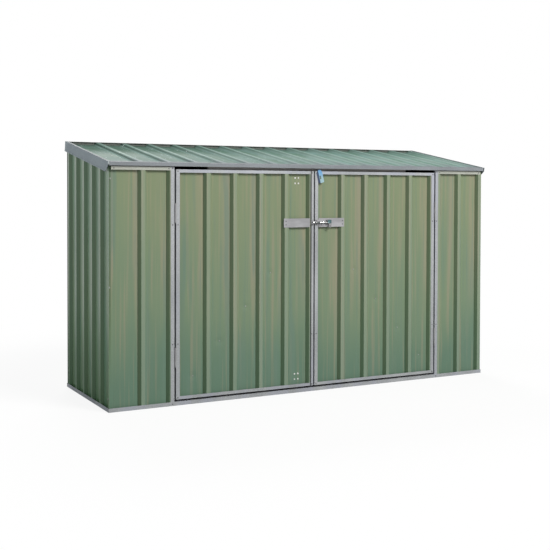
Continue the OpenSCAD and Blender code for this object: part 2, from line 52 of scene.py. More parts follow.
NO_MARGIN = -9.0           # left of the whole shed: the ribs have no margin before them

# Places across a rib, in rib pitches.
TOP_EDGE = RIB_TOP / RIB_PITCH
FOOT_EDGE = RIB_FOOT / RIB_PITCH
EDGE_BLUR = 0.010          # half the width of the border between two colours
FOOT_SHADE = 0.022          # reach of the painted shade at a rib's foot
SHADE_LINE = 0.032          # from the edge of a roof rib's top to its painted shade line
SHADE_LINE_REACH = 0.042    # how far that line reaches to both sides

RIVET_R = 0.0034           # a blind rivet's head
BOLT_RIVET_R = 0.0046      # the head of a rivet that holds a drop bolt's plate
SCREW_R = 0.0042           # a hexagon-head screw across its corners
HEAD_SINK = 0.0003         # how far a head is let into what it holds

# Outlines of the heads: share of the radius, height over what they hold.
RIVET_OUTLINE = (
    (1.00, -HEAD_SINK), (1.00, 0.0004), (0.86, 0.0011), (0.60, 0.0016), (0.34, 0.0016), (0.28, 0.0009),
)
WASHER_OUTLINE = ((1.25, -HEAD_SINK), (1.25, 0.0006), (1.05, 0.0009))
HEXAGON_OUTLINE = ((0.98, 0.0006), (0.98, 0.0030), (0.82, 0.0036))

# Heights of the screws on the posts and the stiles.
LOW_SCREW_Z = 0.312
HIGH_SCREW_Z = 0.916

# Screws at the corners: inset from the side wall's face, and height.
CORNER_SCREWS = ((0.010, 1.147), (0.006, 0.613))
LOW_CORNER_Z = 0.066       # the lowest corner screw, on the side wall's last rib
LAST_RIB_SCREW = 0.002     # from the last rib's middle to the lowest screw

# Rivets that hold each leaf's brace: distance from the hinge edge, height.
BRACE_RIVETS = ((0.094, 0.141), (0.240, 0.310), (0.387, 0.4825), (0.531, 0.6535))
DENT_R = 0.030             # the soft dent that such a rivet pulls into a pan
DENT_DEPTH = 0.0016

DROP_LOW = 0.055           # the drop bolts' plates above the leaf's foot
DROP_HIGH = 0.052          # and below its top
DROP_RIVET_X = 0.010       # from such a plate's middle to its rivets, along X
DROP_RIVET_Z = 0.0145      # and along Z

RAIL_RIVET_DROP = 0.012    # from the post's top down to the short rails' rivets
RAIL_RIVET_IN = 0.014      # from such a rail's outer end to its rivet
RAIL_RIVET_END = 0.010     # from the post's side to the rail's other rivet

PLATE_RIVET_Z = 0.009      # from the middle of a flat strip to its rivets
KEEPER_RIVET_IN = 0.013    # from the left strip's left end to its rivets
LATCH_RIVET_IN = 0.010     # from the right strip's right end to its rivets
PLATE_SCREW_Z = 0.0115     # from the bolt's axis to its plate's screws
BOLT_PLATE_T = 0.0015      # thickness of the bolt's plate
BOLT_SCREW_IN = 0.006      # from the bolt's plate's left end to its screws
BOLT_SCREW_END = 0.028     # from the bolt's right end to the other screws
KEEPER_SCREW_IN = 0.0115   # from the keeper's right end to its screws

HANDLE_W = 0.024           # the bolt's flat handle
HANDLE_H = 0.022
ROD_SHADE = (0.008, 0.027)  # the stretch of the bolt's rod, on X, that mirrors the dark ground
STILE_SHADE = 0.0065        # width of the painted shade on the left meeting stile's edge
TAG_TOP = (0.026, 1.2034)  # the middle of the hang tag's top edge, X and Z
TAG_LEAN = math.radians(13.5)
TAG_BORDER = -0.0060       # where the tag's dark border ends, from its middle

# ---------------------------------------------------------------------------
# Colours
# ---------------------------------------------------------------------------
# Green paint as it looks on each side, with light, shade and reflections
# painted in. The side walls have their own darker, greener copy of it: painted
# shade. From the foot to the top of a wall, the open sky and the ground are
# painted in as reflections, and the pale brown and bluish streaks are painted
# reflections too. foot, middle and top are heights on a wall; the crown colour
# is for a rib's flat top and holds a painted highlight, and the flank colour is
# for its sloping side, with painted shade on the walls and painted light on the
# roof. The darkest tone is a painted shade line by a rib's foot on the walls
# and under a rib's top on the roof. On the roof, the dull tone is painted shade
# towards the left end, the palest tone is a painted glint, and another tone
# darkens the back edge.
FRONT_PAINT = {
    "foot": (0.130, 0.222, 0.158), "middle": (0.198, 0.272, 0.170), "top": (0.230, 0.283, 0.165),
    "sand_reflection": (0.345, 0.305, 0.215), "cool_reflection": (0.155, 0.240, 0.185), "shade_line": (0.055, 0.085, 0.040),
    "crown_highlight": (0.310, 0.370, 0.280), "flank_shading": (0.074, 0.134, 0.066),
}
SIDE_PAINT = {
    "foot": (0.091, 0.178, 0.084), "middle": (0.115, 0.217, 0.101), "top": (0.146, 0.272, 0.158),
    "sand_reflection": (0.160, 0.215, 0.120), "cool_reflection": (0.075, 0.185, 0.115), "shade_line": (0.025, 0.045, 0.020),
    "crown_highlight": (0.145, 0.240, 0.135), "flank_shading": (0.060, 0.125, 0.058),
}
ROOF_PAINT = {
    "middle": (0.138, 0.240, 0.190), "cool_reflection": (0.215, 0.335, 0.310), "shade_line": (0.035, 0.070, 0.050),
    "crown_highlight": (0.275, 0.390, 0.345), "flank_shading": (0.325, 0.465, 0.415), "dull": (0.082, 0.132, 0.100),
    "back_dark": (0.035, 0.058, 0.044), "chalk": (0.225, 0.195, 0.275), "glint": (0.620, 0.680, 0.680),
}

# Zinc coatings: light and dark tone, share of metal, roughness and shine.
FRAME_ZINC = (0.480, 0.500, 0.515), (0.330, 0.345, 0.365), 0.30, 0.42, 0.50
EAVE_ZINC = (0.355, 0.385, 0.415), (0.262, 0.283, 0.305), 0.05, 0.60, 0.10
REAR_ZINC = (0.240, 0.262, 0.240), (0.175, 0.187, 0.175), 0.05, 0.60, 0.10
BARGE_ZINC = (0.375, 0.430, 0.455), (0.270, 0.315, 0.340), 0.05, 0.60, 0.10
RAIL_ZINC = (0.500, 0.520, 0.460), (0.370, 0.385, 0.340), 0.30, 0.42, 0.50
# The header's coating is paler than the frame's: painted light that makes up for the shadow under the
# eave.
LIT_HEADER_ZINC = (0.560, 0.540, 0.510), (0.420, 0.400, 0.380), 0.10, 0.60, 0.50
HINGE_ZINC = (0.400, 0.400, 0.415), (0.280, 0.280, 0.290), 0.40, 0.40, 0.50
BRIGHT_HEADS = (0.950, 0.950, 0.940), (0.800, 0.800, 0.780), 0.00, 0.35, 0.50
DULL_HEADS = (0.200, 0.200, 0.210), (0.130, 0.130, 0.140), 0.30, 0.50, 0.50
GREY_HEADS = (0.360, 0.380, 0.360), (0.240, 0.260, 0.240), 0.10, 0.50, 0.50
FRAME_TINT = (0.410, 0.430, 0.510)
WEATHERED_ZINC = (0.120, 0.130, 0.135)
# Painted shade on the left meeting stile's edge.
EDGE_SHADE = (0.030, 0.036, 0.030)

# The lock's strips, and what its plated steel mirrors.
STRIP_LIGHT = (0.420, 0.420, 0.440)
STRIP_DARK = (0.310, 0.310, 0.325)
STRIP_RAISED = (0.660, 0.670, 0.680)
HANDLE_MIRRORS = (0.090, 0.150, 0.160)
ROD_MIRRORS = (0.070, 0.080, 0.080)

TAG_DARK = (0.150, 0.380, 0.680)
TAG_LIGHT = (0.220, 0.460, 0.740)
TAG_FOOT = (0.360, 0.540, 0.600)
TAG_EDGE = (0.030, 0.055, 0.115)

WHITE = (1.0, 1.0, 1.0, 1.0)
DAYLIGHT = (0.94, 0.97, 1.0, 1.0)
WARM_LIGHT = (1.0, 0.985, 0.955)
COOL_LIGHT = (0.93, 0.97, 1.0)
PLAIN_LIGHT = (1.0, 1.0, 1.0)

# ---------------------------------------------------------------------------
# The camera: the photograph's place, turns in degrees and lens
# ---------------------------------------------------------------------------
CAMERA_AT = (-2.629, -5.404, 1.1076)
CAMERA_YAW = -31.106
CAMERA_PITCH = -1.364
CAMERA_ROLL = 0.281
CAMERA_LENS = 68.13
CAMERA_SHIFT = (-0.1852, -0.1134)


# ---------------------------------------------------------------------------
# Materials
# ---------------------------------------------------------------------------
class Tree:
    """The nodes of one material or world. Each call makes a node and joins it up."""

    def __init__(self, owner):
        owner.use_nodes = True
        self.owner = owner
        self.nodes = owner.node_tree.nodes
        self.links = owner.node_tree.links
        self.nodes.clear()

    def feed(self, socket, value):
        if isinstance(value, bpy.types.NodeSocket):
            self.links.new(value, socket)
        else:
            socket.default_value = value

    def node(self, kind, out=0, settings=(), **inputs):
        made = self.nodes.new("ShaderNode" + kind)
        for key, value in dict(settings).items():
            setattr(made, key, value)
        for key, value in inputs.items():
            self.feed(made.inputs[key.replace("_", " ")], value)
        return made.outputs[out]

    def math(self, operation, *values, clamp=False):
        made = self.nodes.new("ShaderNodeMath")
        made.operation = operation
        made.use_clamp = clamp
        for socket, value in zip(made.inputs, values):
            self.feed(socket, value)
        return made.outputs[0]

    def times(self, first, *others):
        """The product of all values."""
        for other in others:
            first = self.math("MULTIPLY", first, other)
        return first

    def less(self, value):
        """What the value leaves of 1."""
        return self.math("SUBTRACT", 1.0, value)

    def vector(self, operation, *values, out="Vector"):
        made = self.nodes.new("ShaderNodeVectorMath")
        made.operation = operation
        for socket, value in zip(made.inputs, values):
            self.feed(socket, value)
        return made.outputs[out]

    def place(self):
        """The point on the object, in metres; it stays put as doors swing."""
        return self.node("TexCoord", out="Object")

    def axes(self, point):
        """The X, Y and Z of a point."""
        made = self.nodes.new("ShaderNodeSeparateXYZ")
        self.links.new(point, made.inputs[0])
        return tuple(made.outputs)

    def noise(self, point, scale, detail=3.0, roughness=0.5):
        return self.node("TexNoise", Vector=point, Scale=scale, Detail=detail, Roughness=roughness)

    def stretched_noise(self, point, scales, detail=3.0, roughness=0.5):
        """Noise with its own scale along X, Y and Z."""
        return self.noise(self.node("Mapping", Vector=point, Scale=scales), 1.0, detail, roughness)

    def ramp(self, value, low, high):
        """0 below low, 1 above high and a smooth rise between."""
        smooth = {"interpolation_type": "SMOOTHSTEP"}
        return self.node("MapRange", settings=smooth, Value=value, From_Min=low, From_Max=high)

    def fall(self, value, low, high):
        """1 below low, 0 above high and a smooth fall between."""
        return self.less(self.ramp(value, low, high))

    def band(self, value, low, high, soft):
        """1 between low and high and 0 outside, with soft edges just inside."""
        return self.times(self.ramp(value, low, low + soft), self.fall(value, high - soft, high))

    def spread(self, value, low, high):
        """Turns 0 to 1 into low to high."""
        return self.node("MapRange", Value=value, To_Min=low, To_Max=high)

    def mix(self, share, first, second):
        """Two colours, with that share of the second one."""
        made = self.nodes.new("ShaderNodeMix")
        made.data_type = "RGBA"
        colours = [socket for socket in made.inputs if socket.type == "RGBA"]
        self.feed(made.inputs["Factor"], share)
        for socket, colour in zip(colours, (first, second)):
            self.feed(socket, (*colour, 1.0) if isinstance(colour, tuple) else colour)
        return [socket for socket in made.outputs if socket.type == "RGBA"][0]

    def bump(self, height, distance, strength=1.0, normal=None):
        made = self.nodes.new("ShaderNodeBump")
        made.inputs["Strength"].default_value = strength
        made.inputs["Distance"].default_value = distance
        self.feed(made.inputs["Height"], height)
        if normal is not None:
            self.feed(made.inputs["Normal"], normal)
        return made.outputs[0]

    def surface(self, colour, roughness, metallic, normal, shine=0.5):
        """Ends the tree with a surface shader and returns its material."""
        shader = self.nodes.new("ShaderNodeBsdfPrincipled")
        self.feed(shader.inputs["Base Color"], colour)
        self.feed(shader.inputs["Roughness"], roughness)
        self.feed(shader.inputs["Metallic"], metallic)
        self.feed(shader.inputs["Specular IOR Level"], shine)
        self.feed(shader.inputs["Normal"], normal)
        return self.end(shader.outputs[0])

    def mixed_end(self, share, first, second, kind="Material"):
        """Ends the tree with two shaders, with that share of the second one."""
        made = self.nodes.new("ShaderNodeMixShader")
        for socket, value in zip(made.inputs, (share, first, second)):
            self.feed(socket, value)
        return self.end(made.outputs[0], kind)

    def end(self, shader, kind="Material"):
        output = self.nodes.new("ShaderNodeOutput" + kind)
        self.links.new(shader, output.inputs["Surface"])
        return self.owner


def material_tree(name):
    return Tree(bpy.data.materials.new(name))


def rib_place(tree, across, first_rib):
    """Where a point lies in the row of ribs, in rib pitches.

    Gives the place between two ribs, which is 0 on one rib's middle and rises
    to 1 on the next one's, and the distance from the nearest rib's middle.
    """
    turns = tree.math("DIVIDE", tree.math("SUBTRACT", across, first_rib), RIB_PITCH)
    in_pan = tree.math("FRACT", turns)
    return in_pan, tree.math("MINIMUM", in_pan, tree.less(in_pan))


def on_ribs(tree, across, from_rib, ribs_start):
    """How far a point lies on a rib's top, on a sloping side and by its foot.

    ribs_start is where a sheet's ribs begin, after its flat margin.
    """
    ribbed = tree.math("GREATER_THAN", across, ribs_start)

    def ribbed_up_to(distance, low, high):
        return tree.math("SUBTRACT", ribbed, tree.ramp(distance, low, high), clamp=True)

    top = ribbed_up_to(from_rib, TOP_EDGE - EDGE_BLUR, TOP_EDGE + EDGE_BLUR)
    rib = ribbed_up_to(from_rib, FOOT_EDGE - EDGE_BLUR, FOOT_EDGE + EDGE_BLUR)
    from_foot = tree.math("ABSOLUTE", tree.math("SUBTRACT", from_rib, FOOT_EDGE))
    foot = ribbed_up_to(from_foot, 0.0, FOOT_SHADE)
    return top, tree.math("SUBTRACT", rib, top), foot


def dents_in(tree, place, dents, relief):
    """Sinks the relief softly round each point (x, z) of a front sheet."""
    for x, z in dents:
        offset = tree.vector("SUBTRACT", place, (x, 0.0, z))
        flat = tree.vector("MULTIPLY", offset, (1.0, 0.0, 1.0))
        distance = tree.vector("LENGTH", flat, out="Value")
        dish = tree.math("SUBTRACT", tree.ramp(distance, 0.0, DENT_R), 1.0)
        relief = tree.math("ADD", relief, tree.times(dish, DENT_DEPTH))
    return relief


def painted_wall(name, run, first_rib, paint, ribs_start=NO_MARGIN, dents=(), rough=(0.36, 0.50),
                 shine=0.30, corner_shade_at=None, cool_reflections=0.70):
    """Satin paint on an upright ribbed sheet.

    run is the axis across the ribs, first_rib the place of one of them on it,
    ribs_start where the ribs begin, and dents the points where a brace rivet
    pulls the pan in. corner_shade_at is where a sheet's left edge is tucked in
    behind the corner; a painted shade darkens the sheet there. cool_reflections
    is how strong the painted bluish reflections are.
    """
    tree = material_tree(name)
    place = tree.place()
    x, y, height = tree.axes(place)
    across = {"X": x, "Y": y}[run]
    in_pan, from_rib = rib_place(tree, across, first_rib)

    # Painted reflection of the ground and the sky: from the foot to the eave, with a border that
    # wanders.
    broad = tree.stretched_noise(place, (3.4, 3.4, 1.6), 2.0)
    streaks = tree.stretched_noise(place, (17.0, 17.0, 1.0), 4.0, 0.55)
    fine = tree.stretched_noise(place, (48.0, 48.0, 1.1), 3.0, 0.55)
    level = tree.math("ADD", height, tree.times(tree.math("SUBTRACT", broad, 0.5), 0.5))
    colour = tree.mix(tree.ramp(level, 0.05, 0.55), paint["foot"], paint["middle"])
    colour = tree.mix(tree.ramp(level, 0.55, 1.10), colour, paint["top"])

    # Painted reflections, in upright streaks, of what the sheet faces: pale brown
    # ones on the right of the pans from half height up, and bluish ones that run all the way down.
    on_right = tree.times(tree.ramp(in_pan, 0.35, 0.80), tree.ramp(streaks, 0.38, 0.62))
    sandy_reflection = tree.times(on_right, tree.ramp(level, 0.30, 0.75), 0.85)
    colour = tree.mix(sandy_reflection, colour, paint["sand_reflection"])
    colour = tree.mix(tree.times(tree.ramp(fine, 0.50, 0.66), 0.45), colour, paint["sand_reflection"])
    colour = tree.mix(tree.times(tree.ramp(streaks, 0.50, 0.66), cool_reflections), colour, paint["cool_reflection"])
    colour = tree.mix(tree.times(tree.fall(fine, 0.34, 0.48), 0.40), colour, paint["cool_reflection"])

    # Painted highlight: the ribs' tops are paler than the pans. Painted shade: the side
    # that is met first along the run is darker and greener, with a darker line in the corner at its
    # foot.
    top, slope, foot = on_ribs(tree, across, from_rib, ribs_start)
    first_side = tree.math("GREATER_THAN", in_pan, 0.5)
    colour = tree.mix(tree.times(slope, first_side, 0.75), colour, paint["flank_shading"])
    colour = tree.mix(tree.times(top, 0.45), colour, paint["crown_highlight"])
    colour = tree.mix(tree.times(foot, first_side, 0.50), colour, paint["shade_line"])
    # Painted shade where the sheet's left edge tucks in behind the corner, fading towards the foot.
    if corner_shade_at is not None:
        corner = tree.fall(across, corner_shade_at + 0.010, corner_shade_at + 0.016)
        corner = tree.times(corner, tree.ramp(height, 0.05, 0.60), 0.70)
        colour = tree.mix(corner, colour, paint["flank_shading"])

    # The pans arch slightly, wave a little, and dish at the rivets.
    arch = tree.times(tree.math("SINE", tree.times(in_pan, math.pi)), 0.0020)
    waves = tree.stretched_noise(place, (7.0, 7.0, 2.2), 2.0)
    relief = tree.math("ADD", arch, tree.times(waves, 0.0045))
    normal = tree.bump(dents_in(tree, place, dents, relief), 1.0)
    grain = tree.noise(place, 420.0, 2.0)
    normal = tree.bump(grain, 0.00008, 0.5, normal)
    return tree.surface(colour, tree.spread(streaks, *rough), 0.0, normal, shine)


def painted_roof(name, first_rib, paint):
    """Paint on the roof, chalky by the eave and darker towards the back edge, with painted reflections,
    light, shade and glints.
    """
    tree = material_tree(name)
    place = tree.place()
    across, along = tree.axes(place)[:2]
    from_rib = rib_place(tree, across, first_rib)[1]
    top, slope = on_ribs(tree, across, from_rib, NO_MARGIN)[:2]
    # Painted reflections: paler bluish patches and streaks over the roof.
    streaks = tree.stretched_noise(place, (26.0, 3.0, 3.0), 4.0, 0.6)
    clouds = tree.stretched_noise(place, (5.0, 7.0, 5.0))
    tone = tree.math("ADD", tree.times(streaks, 0.6), tree.times(clouds, 0.4))
    colour = tree.mix(tree.ramp(tone, 0.42, 0.62), paint["middle"], paint["cool_reflection"])
    # Painted shade: the pans grow darker towards the left end.
    left_shade_and_glints = tree.fall(across, -1.1, 0.9)
    colour = tree.mix(tree.times(left_shade_and_glints, 0.60), colour, paint["dull"])

    # Painted light and highlight: the ribs are paler than the pans, their sloping sides most so near the
    # eave.
    clear = tree.fall(along, -0.05, 0.34)
    colour = tree.mix(tree.times(slope, tree.spread(clear, 0.55, 0.90)), colour, paint["flank_shading"])
    colour = tree.mix(tree.times(top, 0.70), colour, paint["crown_highlight"])

    # A painted shade line hangs under the edge of their tops, most of it on the left.
    from_line = tree.math("ABSOLUTE", tree.math("SUBTRACT", from_rib, TOP_EDGE + SHADE_LINE))
    line = tree.fall(from_line, 0.0, SHADE_LINE_REACH)
    most = tree.node("MapRange", Value=across, From_Min=-1.1, From_Max=0.1, To_Min=0.90, To_Max=0.25)
    colour = tree.mix(tree.times(line, most), colour, paint["shade_line"])
    colour = tree.mix(tree.times(tree.fall(along, -0.38, -0.16), 0.40), colour, paint["chalk"])
    colour = tree.mix(tree.times(tree.ramp(along, 0.24, 0.40), 0.35), colour, paint["back_dark"])

    # Painted glints: small pale spots, towards the left end.
    glint_noise = tree.stretched_noise(place, (58.0, 40.0, 40.0), 3.0, 0.6)
    colour = tree.mix(tree.times(tree.ramp(glint_noise, 0.665, 0.695), left_shade_and_glints, 0.9), colour, paint["glint"])
    normal = tree.bump(tree.stretched_noise(place, (9.0, 3.0, 3.0), 2.0), 0.0040)

    # The shine fades towards the back edge.
    shine = tree.times(tree.math("POWER", clear, 3.0), 0.035)
    return tree.surface(colour, tree.spread(clouds, 0.42, 0.62), 0.0, normal, shine)


def zinc(name, light, dark, metallic, roughness, shine, tint=None, shade_edge=None):
    """Zinc coating: pale grey with a faint spangle and long rolling marks.

    Faces that look up have weathered darker. tint is a second tone in long
    upright patches. Left of shade_edge, a place on X, a painted shade makes
    the coating nearly black.
    """
    tree = material_tree(name)
    place = tree.place()
    clouds = tree.stretched_noise(place, (5.0, 5.0, 3.0), 4.0)
    spangle = tree.node("TexVoronoi", Vector=place, Scale=160.0, Randomness=1.0)
    tone = tree.math("ADD", tree.times(clouds, 0.7), tree.times(spangle, 0.3))
    colour = tree.mix(tree.ramp(tone, 0.25, 0.75), dark, light)
    if tint is not None:
        bloom = tree.stretched_noise(place, (14.0, 14.0, 1.2))
        colour = tree.mix(tree.times(tree.ramp(bloom, 0.42, 0.62), 0.55), colour, tint)
    facing_up = tree.axes(tree.node("NewGeometry", out="Normal"))[2]
    upward = tree.times(tree.ramp(facing_up, 0.70, 0.95), 0.75)
    colour = tree.mix(upward, colour, WEATHERED_ZINC)
    # Painted shade left of that place.
    if shade_edge is not None:
        across = tree.axes(place)[0]
        edge = tree.times(tree.fall(across, shade_edge - 0.001, shade_edge + 0.001), 0.90)
        colour = tree.mix(edge, colour, EDGE_SHADE)
    marks = tree.stretched_noise(place, (260.0, 260.0, 12.0), 2.0)
    rough = tree.spread(clouds, roughness - 0.07, roughness + 0.07)
    return tree.surface(colour, rough, metallic, tree.bump(marks, 0.00012, 0.6), shine)


def latch_steel(name, face_y):
    """Dull strip on the leaf's face; what stands out of it is bright plated."""
    tree = material_tree(name)
    place = tree.place()
    depth = tree.axes(place)[1]
    raised = tree.ramp(tree.math("SUBTRACT", face_y, depth), 0.0020, 0.0030)
    clouds = tree.stretched_noise(place, (9.0, 9.0, 30.0), 4.0)
    colour = tree.mix(tree.ramp(clouds, 0.30, 0.70), STRIP_DARK, STRIP_LIGHT)
    colour = tree.mix(raised, colour, STRIP_RAISED)
    rough = tree.spread(raised, 0.42, 0.20)
    metal = tree.spread(raised, 0.35, 1.0)
    return tree.surface(colour, rough, metal, tree.bump(clouds, 0.0002, 0.5))


def bright_steel(name, tint, roughness, handle=None):
    """Bright zinc-plated steel, with spots of wear.

    handle is the box of the bolt's flat handle, low and high (x, z). It and a
    stretch of the rod mirror the dark ground.
    """
    tree = material_tree(name)
    place = tree.place()
    wear = tree.noise(place, 90.0, 5.0, 0.65)
    light = (tint, tint, tint * 1.01)
    dark = (tint * 0.62, tint * 0.62, tint * 0.60)
    colour = tree.mix(tree.ramp(wear, 0.30, 0.62), dark, light)
    if handle is not None:
        (low_x, low_z), (high_x, high_z) = handle
        x, _, z = tree.axes(place)
        on_handle = tree.times(tree.band(x, low_x, high_x, 0.001), tree.band(z, low_z, high_z, 0.002))
        colour = tree.mix(on_handle, colour, HANDLE_MIRRORS)
        colour = tree.mix(tree.band(x, *ROD_SHADE, 0.002), colour, ROD_MIRRORS)
    rough = tree.spread(wear, roughness + 0.12, roughness)
    return tree.surface(colour, rough, 1.0, tree.bump(wear, 0.0001, 0.5))


def tag_plastic(name):
    """Light blue plastic of the hang tag, with a dark border at the left and a
    paler foot."""
    tree = material_tree(name)
    place = tree.place()
    from_top = tree.node("Mapping", Vector=place, Location=(-TAG_TOP[0], 0.0, -TAG_TOP[1]))
    x, _, z = tree.axes(from_top)
    cosine, sine = math.cos(TAG_LEAN), math.sin(TAG_LEAN)
    across = tree.math("ADD", tree.times(x, cosine), tree.times(z, sine))
    down = tree.math("SUBTRACT", tree.times(x, sine), tree.times(z, cosine))
    clouds = tree.noise(place, 38.0, 3.0)
    colour = tree.mix(tree.ramp(clouds, 0.30, 0.75), TAG_DARK, TAG_LIGHT)
    colour = tree.mix(tree.ramp(down, 0.015, 0.055), colour, TAG_FOOT)
    colour = tree.mix(tree.fall(across, TAG_BORDER - 0.0008, TAG_BORDER + 0.0008), colour, TAG_EDGE)
    grain = tree.noise(place, 900.0, 2.0)
    return tree.surface(colour, tree.spread(grain, 0.32, 0.46), 0.0, tree.bump(grain, 0.0001, 0.5))


def dress(material, *nodes):
    """Puts one material on every slot of the CAD nodes that are named."""
    for node in nodes:
        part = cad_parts[node]
        if not part.material_slots:
            part.data.materials.append(material)
        for slot in part.material_slots:
            slot.material = material


# ---------------------------------------------------------------------------
# Fasteners
# ---------------------------------------------------------------------------
def turned_ring(mesh, centre, out, radius, height, sides, turn):
    """Points round the axis that goes out of a face."""
    beside = Vector((0, 0, 1)) if abs(out.z) < 0.9 else Vector((1, 0, 0))
    axis_x = beside.cross(out).normalized()
    axis_y = out.cross(axis_x)
    points = []
    for i in range(sides):
        angle = 2 * math.pi * i / sides + turn
        flat = axis_x * math.cos(angle) * radius + axis_y * math.sin(angle) * radius
        points.append(mesh.verts.new(centre + flat + out * height))
    return points


def add_head(mesh, centre, out, outline, radius, sides, turn=0.0):
    """Turns an outline about the axis and closes both its ends."""
    rings = [
        turned_ring(mesh, centre, out, radius * share, height, sides, turn)
        for share, height in outline
    ]
    for low, high in zip(rings, rings[1:]):
        for i in range(sides):
            j = (i + 1) % sides
            mesh.faces.new((low[i], low[j], high[j], high[i]))
    mesh.faces.new(rings[-1])
    mesh.faces.new(list(reversed(rings[0])))


def add_rivet(mesh, centre, out, radius):
    """A blind rivet: a flat rim, a low dome and the hole of its drawn stem."""
    add_head(mesh, centre, out, RIVET_OUTLINE, radius, sides=14)


def add_screw(mesh, centre, out):
    """A hexagon-head screw on its round washer face."""
    add_head(mesh, centre, out, WASHER_OUTLINE, SCREW_R, sides=18)
    add_head(mesh, centre, out, HEXAGON_OUTLINE, SCREW_R, sides=6, turn=0.3)


def piece(name, mesh, material, body):
    """Makes an object of a finished mesh and lets it ride on a body."""
    data = bpy.data.meshes.new(name)
    bmesh.ops.recalc_face_normals(mesh, faces=mesh.faces)
    mesh.to_mesh(data)
    mesh.free()
    thing = bpy.data.objects.new(name, data)
    bpy.context.scene.collection.objects.link(thing)
    data.materials.append(material)
    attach(thing, body)


def fasteners(name, body, material, rivets=(), screws=(), radius=RIVET_R):
    """One piece of all rivets and screws, each a centre and a way out."""
    mesh = bmesh.new()
    for centre, out in rivets:
        add_rivet(mesh, Vector(centre), Vector(out).normalized(), radius)
    for centre, out in screws:
        add_screw(mesh, Vector(centre), Vector(out).normalized())
    piece(name, mesh, material, body)


# ---------------------------------------------------------------------------
# Finishes of the CAD pieces
# ---------------------------------------------------------------------------
def low_end(node):
    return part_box(node)[0]


def high_end(node):
    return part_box(node)[1]


left_dents = [(low_end("left_hinge_stile").x + x, z) for x, z in BRACE_RIVETS]
right_dents = [(high_end("right_hinge_stile").x - x, z) for x, z in BRACE_RIVETS]
leaf_face = low_end("left_meeting_stile").y

# The frame's coating is on every piece that no other finish covers below.
dress(zinc("zinc_frame", *FRAME_ZINC, tint=FRAME_TINT), *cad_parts)

# Front sheets: the brace's dents and how strong the painted bluish reflections are.
front_sheets = {
    "front_panel_left": ((), 0.70),
    "left_door_sheet": (left_dents, 0.70),
    "right_door_sheet": (right_dents, 0.25),
}
for node, (dents, cool_reflection) in front_sheets.items():
    edge = low_end(node).x
    ribs_start = edge + SHEET_FIRST_RIB - RIB_LEAD
    rib_x = edge + SHEET_FIRST_RIB + RIB_FOOT
    # The left panel gets painted shade where its edge tucks in behind the corner.
    corner = edge if node == "front_panel_left" else None
    paint = painted_wall(
        "paint_" + node, "X", rib_x, FRONT_PAINT, ribs_start, dents, corner_shade_at=corner, cool_reflections=cool_reflection,
    )
    dress(paint, node)

# The right panel's ribs stand in line with the roof's.
roof_rib_x = low_end("roof_sheet_middle").x + SHEET_FIRST_RIB + RIB_FOOT
right_paint = painted_wall("paint_front_panel_right", "X", roof_rib_x, FRONT_PAINT, cool_reflections=0.25)
dress(right_paint, "front_panel_right")
roof_paint = painted_roof("paint_roof", roof_rib_x, ROOF_PAINT)
dress(roof_paint, "roof_sheet_left", "roof_sheet_middle", "roof_sheet_right")

# The back sheets are seen from behind, so their ribs are counted from the right.
back_rib_x = high_end("back_sheet_middle").x - SHEET_FIRST_RIB - RIB_FOOT
back_paint = painted_wall("paint_back", "X", back_rib_x, FRONT_PAINT)
dress(back_paint, "back_sheet_left", "back_sheet_middle", "back_sheet_right")

side_rib_y = {
    "left_wall": low_end("left_wall").y + SIDE_LAST_RIB,
    "right_wall": high_end("right_wall").y - SIDE_LAST_RIB,
}
for node, rib_y in side_rib_y.items():
    dress(painted_wall("paint_" + node, "Y", rib_y, SIDE_PAINT, rough=(0.24, 0.34), shine=0.5), node)

zinc_pieces = (
    ("zinc_eave", EAVE_ZINC, ("eave_channel",)),
    ("zinc_rear", REAR_ZINC, ("rear_channel",)),
    ("zinc_barge", BARGE_ZINC, ("barge_left", "barge_right")),
    ("zinc_rails", RAIL_ZINC, ("front_rails",)),
    ("zinc_header_lit", LIT_HEADER_ZINC, ("header",)),
    ("zinc_hinge", HINGE_ZINC, ("post_hinges", "left_door_hinges", "right_door_hinges")),
)
for name, coating, nodes in zinc_pieces:
    dress(zinc(name, *coating), *nodes)
# Painted shade along the left meeting stile's left edge.
stile_shade = low_end("left_meeting_stile").x + STILE_SHADE
dress(zinc("zinc_meeting_edge_shade", *FRAME_ZINC, tint=FRAME_TINT, shade_edge=stile_shade), "left_meeting_stile")

bolt_end = high_end("pad_bolt")
handle = (bolt_end.x - HANDLE_W, bolt_end.z - HANDLE_H), (bolt_end.x, bolt_end.z)
dress(latch_steel("plated_strip", leaf_face), "keeper_plate", "latch_plate")
dress(bright_steel("bolt_steel", 0.32, 0.30, handle), "pad_bolt")
dress(bright_steel("drop_bolt_steel", 0.72, 0.24), "drop_bolts")
dress(tag_plastic("blue_plastic"), "hang_tag")

# ---------------------------------------------------------------------------
# Rivets and screws, each a centre and the way its head looks
# ---------------------------------------------------------------------------
FRONT = (0.0, -1.0, 0.0)


def stile_screws(node):
    """Four screws up a post's or a stile's front, on its middle."""
    low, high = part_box(node)
    inset = (high.x - low.x) / 2
    heights = (low.z + inset, LOW_SCREW_Z, HIGH_SCREW_Z, high.z - inset)
    return [((low.x + inset, low.y, z), FRONT) for z in heights]


def brace_rivets(node, points):
    pan_y = low_end(node).y + RIB_RISE
    return [((x, pan_y, z), FRONT) for x, z in points]


def drop_bolt_rivets():
    """Four rivets through the sheet at each of the drop bolts' plates."""
    low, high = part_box("drop_bolts")
    middle_x = (low.x + high.x) / 2
    pan_y = low_end("left_door_sheet").y + RIB_RISE
    leaf_low, leaf_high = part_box("left_door_rails")
    return [
        ((middle_x + dx, pan_y, height + dz), FRONT)
        for height in (leaf_low.z + DROP_LOW, leaf_high.z - DROP_HIGH)
        for dx in (-DROP_RIVET_X, DROP_RIVET_X)
        for dz in (-DROP_RIVET_Z, DROP_RIVET_Z)
    ]


